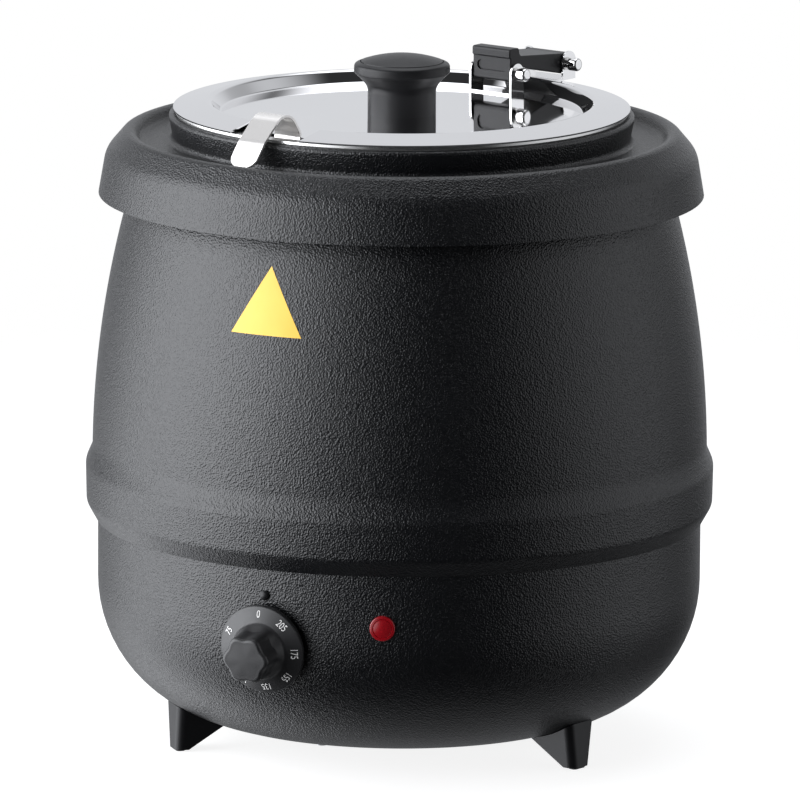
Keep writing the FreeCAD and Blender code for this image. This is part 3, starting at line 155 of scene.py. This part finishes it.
def lathed(loop, steps=TURN_STEPS):
    """A bmesh turned about Z from a closed loop of (radius, height) points in millimetres."""
    mesh = bmesh.new()
    turns = [2 * math.pi * k / steps for k in range(steps)]
    rings = []
    for r, z in loop:
        if abs(r) < ON_AXIS:
            rings.append([mesh.verts.new((0, 0, z * MM))] * steps)
        else:
            rings.append([mesh.verts.new((r * MM * math.cos(t), r * MM * math.sin(t), z * MM))
                          for t in turns])
    for lower, upper in zip(rings, rings[1:] + rings[:1]):
        for k in range(steps):
            following = (k + 1) % steps
            corners = dict.fromkeys((lower[k], lower[following], upper[following], upper[k]))
            if len(corners) > 2:
                mesh.faces.new(list(corners))
    bmesh.ops.recalc_face_normals(mesh, faces=mesh.faces)
    return mesh


def piece(name, mesh, body, material, nodes=()):
    """Makes a shown object of a bmesh: smooth, in its material, riding on its body."""
    data = bpy.data.meshes.new(name)
    mesh.to_mesh(data)
    mesh.free()
    data.shade_smooth()
    data.set_sharp_from_angle(angle=SHARP_ANGLE)
    data.materials.append(material)
    thing = bpy.data.objects.new(name, data)
    bpy.context.scene.collection.objects.link(thing)
    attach(thing, body)
    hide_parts(*nodes)
    return thing


def prism(plan, bottom, top, turn):
    """A bmesh of a flat plan of (x, y) points in millimetres, raised and turned about Z."""
    mesh = bmesh.new()
    base = mesh.faces.new([mesh.verts.new((x * MM, y * MM, bottom * MM)) for x, y in plan])
    raised = bmesh.ops.extrude_face_region(mesh, geom=[base])["geom"]
    bmesh.ops.translate(mesh, vec=(0, 0, (top - bottom) * MM),
                        verts=[v for v in raised if isinstance(v, bmesh.types.BMVert)])
    bmesh.ops.rotate(mesh, cent=(0, 0, 0), matrix=Matrix.Rotation(turn, 3, "Z"), verts=mesh.verts)
    bmesh.ops.recalc_face_normals(mesh, faces=mesh.faces)
    return mesh


def cut_by(thing, cutter_mesh):
    """Cuts a closed mesh out of a piece and keeps its shading."""
    cutter_data = bpy.data.meshes.new("cutter")
    cutter_mesh.to_mesh(cutter_data)
    cutter_mesh.free()
    cutter = bpy.data.objects.new("cutter", cutter_data)
    bpy.context.scene.collection.objects.link(cutter)
    boolean = thing.modifiers.new("cut", "BOOLEAN")
    boolean.operation = "DIFFERENCE"
    boolean.solver = "EXACT"
    boolean.object = cutter
    graph = bpy.context.evaluated_depsgraph_get()
    whole = thing.data
    thing.data = bpy.data.meshes.new_from_object(thing.evaluated_get(graph))
    thing.data.name = whole.name
    thing.modifiers.clear()
    bpy.data.objects.remove(cutter)
    thing.data.shade_smooth()
    thing.data.set_sharp_from_angle(angle=SHARP_ANGLE)


# ---------------------------------------------------------------- materials


class Shader:
    """A material being put together; an input given as a socket is joined, else set."""

    def __init__(self, name):
        self.material = bpy.data.materials.new(name)
        self.material.use_nodes = True
        self.tree = self.material.node_tree
        self.surface = self.tree.nodes["Principled BSDF"]
        self.place = self.add("TexCoord").outputs["Object"]

    def add(self, kind, inputs=None, **settings):
        node = self.tree.nodes.new("ShaderNode" + kind)
        for name, value in settings.items():
            setattr(node, name, value)
        self.feed(node, **(inputs or {}))
        return node

    def feed(self, node, **inputs):
        for name, value in inputs.items():
            socket = node.inputs[name.replace("_", " ")]
            if isinstance(value, bpy.types.NodeSocket):
                self.tree.links.new(value, socket)
            else:
                socket.default_value = value

    def noise(self, grain, detail=2.0, place=None, stretch=(1, 1, 1)):
        """Noise whose features are about this many millimetres across."""
        place = place or self.place
        if stretch != (1, 1, 1):
            place = self.add("Mapping", {"Vector": place, "Scale": stretch}).outputs["Vector"]
        node = self.add("TexNoise", {"Vector": place, "Scale": 1 / (grain * MM),
                                     "Detail": detail})
        return node.outputs["Fac"]

    def between(self, amount, low, high):
        """A value that goes from low to high with an amount of 0 to 1."""
        return self.add("MapRange", {"Value": amount, "To Min": low, "To Max": high}
                        ).outputs["Result"]

    def tints(self, amount, dark, light):
        """A colour between two tints."""
        mix = self.add("Mix", data_type="RGBA")
        self.tree.links.new(amount, mix.inputs[0])
        mix.inputs[6].default_value = (*dark, 1)
        mix.inputs[7].default_value = (*light, 1)
        return mix.outputs[2]

    def raised(self, height, depth, under=None):
        """A surface normal for a height of 0 to 1 that stands for a depth in millimetres."""
        inputs = {"Height": height, "Distance": depth * MM, "Strength": 1.0}
        if under is not None:
            inputs["Normal"] = under
        return self.add("Bump", inputs).outputs["Normal"]


def shade(colour, factor):
    """The colour made darker or lighter by a factor."""
    return tuple(min(1.0, c * factor) for c in colour)


def leather_grain(name):
    """Black powder coat with a leather grain: small irregular bumps, satin."""
    warp_size, warp_shift, cell_size = 1.4 * MM, 0.7 * MM, 0.95 * MM
    peel_depth, grain_depth, skin_depth = 0.10, 0.32, 0.05
    look = Shader(name)
    warp = look.add("TexNoise", {"Vector": look.place, "Scale": 1 / warp_size, "Detail": 2.0})
    shift = look.add("VectorMath", {"Scale": warp_shift}, operation="SCALE")
    look.tree.links.new(warp.outputs["Color"], shift.inputs[0])
    moved = look.add("VectorMath", operation="ADD")
    look.tree.links.new(look.place, moved.inputs[0])
    look.tree.links.new(shift.outputs[0], moved.inputs[1])
    cells = look.add("TexVoronoi", {"Vector": moved.outputs[0], "Scale": 1 / cell_size,
                                    "Smoothness": 0.6}, feature="SMOOTH_F1")
    orange_peel = look.raised(look.noise(6.0), peel_depth)
    grain = look.raised(cells.outputs["Distance"], grain_depth, orange_peel)
    skin = look.raised(look.noise(0.6), skin_depth, grain)
    look.feed(look.surface, Base_Color=look.tints(look.noise(24.0), (0.0018, 0.0021, 0.0028),
                                                  (0.0034, 0.0038, 0.0050)),
              Roughness=look.between(look.noise(1.6), 0.27, 0.38), Normal=skin)
    return look.material


def satin_strip(name):
    """Bright strip steel with a soft satin skin that also scatters light."""
    look = Shader(name)
    drawn = look.noise(0.7, 3.0, stretch=(1.0, 1.0, 0.2))
    look.feed(look.surface, Metallic=0.55,
              Base_Color=look.tints(drawn, (0.74, 0.72, 0.70), (0.86, 0.84, 0.82)),
              Roughness=look.between(drawn, 0.12, 0.2), Normal=look.raised(drawn, 0.004))
    return look.material


def polished(name, colour=(0.90, 0.895, 0.90), rough=0.035, ripple=0.0):
    """Mirror-polished sheet with faint haze and a hint of waviness from the press."""
    look = Shader(name)
    look.feed(look.surface, Metallic=1.0,
              Base_Color=look.tints(look.noise(30.0), shade(colour, 0.97), colour),
              Roughness=look.between(look.noise(12.0, 4.0), rough * 0.7, rough * 1.4))
    if ripple:
        look.feed(look.surface, Normal=look.raised(look.noise(26.0, 0.0), ripple))
    return look.material


def brushed(name, colour=(0.72, 0.72, 0.71), rough=0.24):
    """Drawn stainless sheet with fine level scratches."""
    look = Shader(name)
    scratches = look.noise(0.5, 3.0, stretch=(0.08, 0.08, 1.0))
    look.feed(look.surface, Metallic=1.0, Base_Color=look.tints(scratches, shade(colour, 0.85),
                                                                colour),
              Roughness=look.between(scratches, rough * 0.7, rough * 1.3),
              Normal=look.raised(scratches, 0.01))
    return look.material


def plated(name, colour, rough):
    """Plated or bare metal: soft patches of tint, and fine drawing marks."""
    look = Shader(name)
    patches = look.noise(4.0, 3.0)
    look.feed(look.surface, Metallic=1.0,
              Base_Color=look.tints(patches, shade(colour, 0.88), colour),
              Roughness=look.between(look.noise(1.2, 3.0), rough * 0.75, rough * 1.35),
              Normal=look.raised(look.noise(0.6), 0.006))
    return look.material


def moulded(name, colour, rough, grain=0.5, depth=0.012, sheen=0.5):
    """Moulded plastic, rubber or wire sleeve: faint mottling and a fine skin texture."""
    look = Shader(name)
    look.feed(look.surface, Base_Color=look.tints(look.noise(9.0, 3.0), shade(colour, 0.85),
                                                  shade(colour, 1.1)),
              Roughness=look.between(look.noise(3.0), rough * 0.88, rough * 1.12),
              Specular_IOR_Level=sheen, Normal=look.raised(look.noise(grain), depth))
    return look.material


def wool(name):
    """Felted mineral wool: matted fibres in uneven tufts."""
    look = Shader(name)
    tufts = look.noise(6.0, 6.0)
    fibres = look.noise(0.8, 4.0, stretch=(1.0, 1.0, 4.0))
    look.feed(look.surface, Base_Color=look.tints(tufts, (0.45, 0.40, 0.28), (0.78, 0.72, 0.55)),
              Roughness=0.95, Normal=look.raised(fibres, 0.3, look.raised(tufts, 1.2)))
    return look.material


def red_glass(name):
    """The lamp's deep red moulding, under a thin clear coat and with a faint glow."""
    look = Shader(name)
    look.feed(look.surface, Base_Color=look.tints(look.noise(2.5), (0.17, 0.002, 0.005),
                                                  (0.30, 0.005, 0.010)),
              Roughness=look.between(look.noise(1.0), 0.16, 0.26),
              Coat_Weight=0.25, Coat_Roughness=0.12,
              Emission_Color=(0.5, 0.004, 0.012, 1), Emission_Strength=0.05)
    return look.material


def vinyl(name):
    """Amber sticker vinyl with a faint roll texture."""
    look = Shader(name)
    look.feed(look.surface, Base_Color=look.tints(look.noise(14.0), (0.90, 0.50, 0.035),
                                                  (0.98, 0.60, 0.06)),
              Roughness=look.between(look.noise(2.0), 0.32, 0.42),
              Normal=look.raised(look.noise(0.9), 0.008))
    return look.material


FINISHES = {
    "black_enamel": leather_grain,
    "black_steel": lambda name: moulded(name, (0.02, 0.02, 0.022), 0.45),
    "stainless": brushed,
    "polished_lid": lambda name: polished(name, ripple=0.02),
    "bright_steel": lambda name: polished(name, (0.86, 0.855, 0.85), 0.10),
    "zinc_steel": lambda name: plated(name, (0.62, 0.63, 0.65), 0.32),
    "black_phenolic": lambda name: moulded(name, (0.011, 0.011, 0.012), 0.36, sheen=0.25),
    "black_rubber": lambda name: moulded(name, (0.02, 0.02, 0.02), 0.62, 0.8, 0.02),
    "silicone": lambda name: moulded(name, (0.07, 0.07, 0.07), 0.55),
    "mineral_wool": wool,
    "heater_sheath": lambda name: plated(name, (0.34, 0.32, 0.30), 0.45),
    "copper": lambda name: plated(name, (0.80, 0.42, 0.28), 0.25),
    "brass": lambda name: plated(name, (0.78, 0.60, 0.28), 0.25),
    "cream_plastic": lambda name: moulded(name, (0.78, 0.73, 0.60), 0.45),
    "white_nylon": lambda name: moulded(name, (0.82, 0.82, 0.79), 0.40),
    "red_lens": red_glass,
    "wire_black": lambda name: moulded(name, (0.025, 0.025, 0.025), 0.40),
    "wire_white": lambda name: moulded(name, (0.78, 0.78, 0.76), 0.40),
    "wire_green": lambda name: moulded(name, (0.04, 0.30, 0.08), 0.40),
    "wire_red": lambda name: moulded(name, (0.50, 0.04, 0.03), 0.40),
    "amber_vinyl": vinyl,
}
FINISH = {slot: make(slot) for slot, make in FINISHES.items()}
SLOT_OF = {part["node"]: part["material_slot"] for part in frame["record"]["subparts"]}
OWN_FINISH = {"pot_clip": satin_strip("clip_steel")}


def paint_cad_nodes():
    """Gives every CAD node its own finish, or else that of its material slot."""
    for name, thing in frame["nodes"].items():
        thing.data.materials.clear()
        thing.data.materials.append(OWN_FINISH.get(name, FINISH[SLOT_OF[name]]))


# ---------------------------------------------------------------- pieces


def stand_in(name, node, loop, body):
    """A lathed piece in place of a CAD node, in that node's finish."""
    slot = SLOT_OF[node]
    return piece(name, lathed(fitted(node, loop)), body, FINISH[slot], [node])


def bowl_shell():
    """The base's flat ring, the round belly and the wall up behind the band."""
    path = rounded_path([(80, 13.5), (163.4, 13.5, 75), (163.4, 128)])
    return stand_in("bowl_shell", "lower_shell", sheet_loop(path, SHELL_GAUGE), "housing")


def barrel_shell():
    """The wide band, the arched wall above it and the flange under the collar."""
    band_top, wall_top, arch_radius, flange_radius = (166.4, 160.4), (138, 327), 542, 128.5
    path = rounded_path([(164.6, 122), (169.6, 130.9, 7), (170, 152, 9), band_top])
    path += bowed_run(band_top, wall_top, arch_radius)[1:]
    path.append(Vector((flange_radius, wall_top[1])))
    return stand_in("barrel_shell", "upper_shell", sheet_loop(path, SHELL_GAUGE), "housing")


def collar():
    """The skirt's foot, the shoulder, its crown, the valley, and the ring with its inward lip."""
    path = rounded_path([(163.2, 299.1), (159.4, 321.5, 16), (146.5, 336.6, 5), (140.5, 328, 4),
                         (123, 328, 3), (125.8, 342.8, 2), (118.6, 342.8)])
    return stand_in("collar", "top_collar", sheet_loop(path, SHELL_GAUGE), "housing")


def pot_liner():
    """The pot's flange, wall, base corner and base."""
    path = rounded_path([(122.5, 344.8), (112, 344.8, 3), (112, 95, 24), (0, 95)])
    return stand_in("pot_liner", "inner_pot", sheet_loop(path, POT_GAUGE), "pot")


def notch_plan(width, depth, rounding=6.0, reach=135.0):
    """The plan of a notch cut in from the lid's rim, along local +X."""
    half = width / 2
    corner = rounded_path([(reach, half), (depth, half, rounding), (depth, -half, rounding),
                           (reach, -half)])
    return [(p.x, p.y) for p in corner]


def lid_dish():
    """The lid's sloping rim and recessed middle, with the notches for ladle and hinge."""
    path = rounded_path([(123.2, 345.8), (103.5, 349.6, 3.5), (98, 342.5, 2), (0, 342.5)])
    lid = stand_in("lid_dish", "lid_panel", sheet_loop(path, LID_GAUGE), "lid")
    low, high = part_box("lid_panel")
    hinge_axis = joint("lid_tilt")["axis"]
    hinge_way = math.atan2(hinge_axis[1], hinge_axis[0]) - math.pi / 2
    ladle_way = hinge_way + math.pi
    spare = 5
    bottom, top = low.z / MM - spare, high.z / MM + spare
    for way, width, depth in ((hinge_way, 34, 108), (ladle_way, 46, 97)):
        cut_by(lid, prism(notch_plan(width, depth), bottom, top, way))
    return lid


def lid_grip():
    """The lid's knob: a stem that flares into the head, a groove, a low dome, a blind bore."""
    base, top, bore, bore_depth = 342.5, 374.5, 3, 16
    rim, rim_height = 22.0, base + 28.3
    rise = top - rim_height
    bow = (rim * rim + rise * rise) / (2 * rise)
    loop = rounded_path([(bore, base), (18.4, base), (18.4, base + 14.6, 8),
                         (23.4, base + 20, 2), (26, base + 22.4, 1.4), (25.7, base + 26.8, 2),
                         (22.6, base + 28), (22.3, base + 27.4)])
    loop += bowed_run((rim, rim_height), (0, top), bow, 12)
    loop += [Vector((0, base + bore_depth)), Vector((bore, base + bore_depth))]
    return stand_in("lid_grip", "lid_knob", loop, "lid")


# Painted light: a lighter copy of the lid grip's black phenolic, so that the dial looks brighter than the grip.
DIAL_LIT_PHENOLIC = moulded("dial_lit_phenolic", (0.019, 0.019, 0.020), 0.40)
DIAL_NUMBERS = {0: "0", 42: "205", 90: "175", 132: "155", 172: "135", -147: "115", -105: "95",
                -63: "75"}


def dial_frame():
    """The dial's frame: +Z out of the bowl along the shaft, +Y upwards."""
    turning = joint("knob_turn")
    out = -Vector(turning["axis"]).normalized()
    side = Vector((0, 0, 1)).cross(out).normalized()
    up = out.cross(side)
    place = Matrix((side, up, out)).transposed().to_4x4()
    place.translation = Vector(turning["pos_m"])
    return place


def lobed(mesh, lobes, depth, foot, full, core):
    """Scallops a turned mesh outside its core: the radius shrinks by up to a depth between
    the lobes, not at all at the foot's height and in full from the full height on."""
    for vert in mesh.verts:
        reach = math.hypot(vert.co.x, vert.co.y)
        rise = (vert.co.z / MM - foot) / (full - foot)
        if rise <= 0 or reach < core * MM:
            continue
        rise = min(rise, 1)
        eased = rise * rise * (3 - 2 * rise)
        turn = math.atan2(vert.co.y, vert.co.x) - math.pi / 2
        between = 0.5 + 0.5 * math.cos(lobes * turn)
        shrink = 1 - depth * between * eased
        vert.co.x *= shrink
        vert.co.y *= shrink


def dial_knob():
    """The dial: a skirt for the numbers, and a grip with six soft lobes that flares into it."""
    back, rim, grip, stand, hair = 1.5, 24.0, 13.6, 25.0, 0.01
    bore, bore_end, hub, dome_rise = 3, 18, 7, 0.35
    loop = rounded_path([(bore, back), (hub, back), (hub, 5), (rim - 3.5, 4),
                         (rim - 2, back + hair), (rim - hair, back + hair, 0.5),
                         (rim - hair, 4.4, 0.8), (grip + 1.6, 8.0, 2.5), (grip + 0.3, 13, 6),
                         (grip - 0.2, 19), (grip - 0.2, stand, 2.2), (grip - 3, stand)])
    loop += bowed_run((grip - 3, stand), (0, stand + dome_rise), 200, 8)[1:]
    loop += [Vector((0, bore_end)), Vector((bore, bore_end))]
    mesh = lathed(loop)
    lobed(mesh, lobes=6, depth=0.13, foot=8.5, full=13, core=bore + 0.5)
    mesh.transform(dial_frame())
    return piece("dial_knob", mesh, "knob", DIAL_LIT_PHENOLIC, ["control_knob"])


def dial_numbers():
    """Plain numbers printed round the dial's skirt, their tops outwards."""
    print_reach, skirt_height, skirt_slope = 20.0, 6.16, math.atan2(3.6, 8.8)
    letter_height, ink_depth, letter_width = 5.6, 0.03, 0.72
    ink = moulded("dial_ink", (0.85, 0.84, 0.82), 0.5)
    place = dial_frame()
    for turn, number in DIAL_NUMBERS.items():
        curve = bpy.data.curves.new("number", "FONT")
        curve.body = number
        curve.size = letter_height * MM
        curve.align_x, curve.align_y = "CENTER", "CENTER"
        curve.extrude = ink_depth * MM
        text = bpy.data.objects.new("number", curve)
        bpy.context.scene.collection.objects.link(text)
        around = Matrix.Rotation(math.radians(-turn), 4, "Z")
        on_skirt = Matrix.Translation((0, print_reach * MM, skirt_height * MM))
        lean = Matrix.Rotation(-skirt_slope, 4, "X")
        narrow = Matrix.Diagonal((letter_width, 1, 1, 1))
        text.matrix_world = place @ around @ on_skirt @ lean @ narrow
        bpy.context.view_layer.update()
        graph = bpy.context.evaluated_depsgraph_get()
        data = bpy.data.meshes.new_from_object(text.evaluated_get(graph))
        data.transform(text.matrix_world)
        bpy.data.objects.remove(text)
        mesh = bmesh.new()
        mesh.from_mesh(data)
        piece(f"dial_number_{number}", mesh, "knob", ink)


# ---------------------------------------------------------------- studio


def lobe(tree, azimuth, elevation, full, faded, strength):
    """A soft patch of light on the sky: full within one angle, gone beyond the other.
    The azimuth is counted from the camera's side, towards the right of the picture."""
    lean = math.radians(elevation)
    way = outward(VIEW_AZIMUTH + azimuth) * math.cos(lean) + Vector((0, 0, math.sin(lean)))
    dot = tree.nodes.new("ShaderNodeVectorMath")
    dot.operation = "DOT_PRODUCT"
    tree.links.new(tree.nodes["Texture Coordinate"].outputs["Generated"], dot.inputs[0])
    dot.inputs[1].default_value = way
    fade = tree.nodes.new("ShaderNodeMapRange")
    fade.interpolation_type = "SMOOTHSTEP"
    fade.inputs["From Min"].default_value = math.cos(math.radians(faded))
    fade.inputs["From Max"].default_value = math.cos(math.radians(full))
    fade.inputs["To Max"].default_value = strength
    tree.links.new(dot.outputs["Value"], fade.inputs["Value"])
    return fade.outputs["Result"]


# azimuth from the camera, elevation, full and faded half-angles, strength
SKY = [
    (-88, 10, 32, 44, 4.2),
    (-60, 10, 14, 46, 2.4),
    (92, 10, 4, 52, 1.0),
    (180, 20, 18, 50, 0.70),
    (180, 74, 10, 34, 2.2),
    (-128, -34, 8, 34, 2.2),
    (180, -65, 25, 50, 0.32),
]
SKY_FLOOR = 0.03
SKY_TINT = (0.96, 0.98, 1.02, 1)
BACKDROP = (1, 1, 1, 1)


def sky():
    """Soft boxes on a dark studio for the reflections, and a pale ground behind the object."""
    world = bpy.data.worlds.new("studio")
    bpy.context.scene.world = world
    world.use_nodes = True
    tree = world.node_tree
    tree.nodes.new("ShaderNodeTexCoord")
    total = None
    for settings in SKY:
        part = lobe(tree, *settings)
        if total is None:
            total = part
            continue
        plus = tree.nodes.new("ShaderNodeMath")
        tree.links.new(total, plus.inputs[0])
        tree.links.new(part, plus.inputs[1])
        total = plus.outputs[0]
    lit = tree.nodes.new("ShaderNodeMath")
    tree.links.new(total, lit.inputs[0])
    lit.inputs[1].default_value = SKY_FLOOR
    studio = tree.nodes["Background"]
    studio.inputs["Color"].default_value = SKY_TINT
    tree.links.new(lit.outputs[0], studio.inputs["Strength"])
    ground = tree.nodes.new("ShaderNodeBackground")
    ground.inputs["Color"].default_value = BACKDROP
    seen = tree.nodes.new("ShaderNodeLightPath")
    mix = tree.nodes.new("ShaderNodeMixShader")
    tree.links.new(seen.outputs["Is Camera Ray"], mix.inputs[0])
    tree.links.new(studio.outputs[0], mix.inputs[1])
    tree.links.new(ground.outputs[0], mix.inputs[2])
    tree.links.new(mix.outputs[0], tree.nodes["World Output"].inputs["Surface"])


def floor():
    """A pale round floor that fades into the backdrop."""
    radius, fade_start, fade_end = 3.0, 0.35, 1.2
    mesh = bmesh.new()
    bmesh.ops.create_circle(mesh, cap_ends=True, segments=96, radius=radius)
    data = bpy.data.meshes.new("floor")
    mesh.to_mesh(data)
    mesh.free()
    thing = bpy.data.objects.new("floor", data)
    bpy.context.scene.collection.objects.link(thing)
    thing.visible_glossy = False
    thing.visible_diffuse = False
    look = Shader("pale_floor")
    away = look.add("VectorMath", operation="LENGTH")
    look.tree.links.new(look.place, away.inputs[0])
    fade = look.add("MapRange", {"Value": away.outputs["Value"], "From Min": fade_start,
                                 "From Max": fade_end}, interpolation_type="SMOOTHSTEP")
    look.feed(look.surface, Base_Color=(0.32, 0.32, 0.32, 1), Roughness=0.8,
              Specular_IOR_Level=0.1, Emission_Color=(1, 1, 1, 1), Emission_Strength=0.86)
    clear = look.add("BsdfTransparent")
    mix = look.add("MixShader", {"Fac": fade.outputs["Result"]})
    look.tree.links.new(look.surface.outputs[0], mix.inputs[1])
    look.tree.links.new(clear.outputs[0], mix.inputs[2])
    output = look.tree.nodes["Material Output"]
    look.tree.links.new(mix.outputs[0], output.inputs["Surface"])
    data.materials.append(look.material)


def camera():
    """A long lens at the viewing angle, aimed a little below the middle of the height."""
    distance, width_seen, roll, drop = 6.0, 0.433, 0.35, 0.0025
    data = bpy.data.cameras.new("camera")
    data.lens = data.sensor_width * distance / width_seen
    data.clip_start, data.clip_end = 0.1, 100
    thing = bpy.data.objects.new("camera", data)
    bpy.context.scene.collection.objects.link(thing)
    lean = math.radians(VIEW_ELEVATION)
    back = outward(VIEW_AZIMUTH) * math.cos(lean) + Vector((0, 0, math.sin(lean)))
    low, high = cad_box
    aim = Vector((0, 0, (low.z + high.z) / 2 - drop))
    turn = (-back).to_track_quat("-Z", "Y").to_matrix().to_4x4()
    thing.matrix_world = (Matrix.Translation(aim + back * distance) @ turn
                          @ Matrix.Rotation(math.radians(roll), 4, "Z"))
    bpy.context.scene.camera = thing


bpy.context.scene.view_settings.view_transform = "Standard"
paint_cad_nodes()
bowl_shell()
barrel_shell()
collar()
pot_liner()
lid_dish()
lid_grip()
dial_knob()
dial_numbers()
sky()
floor()
camera()
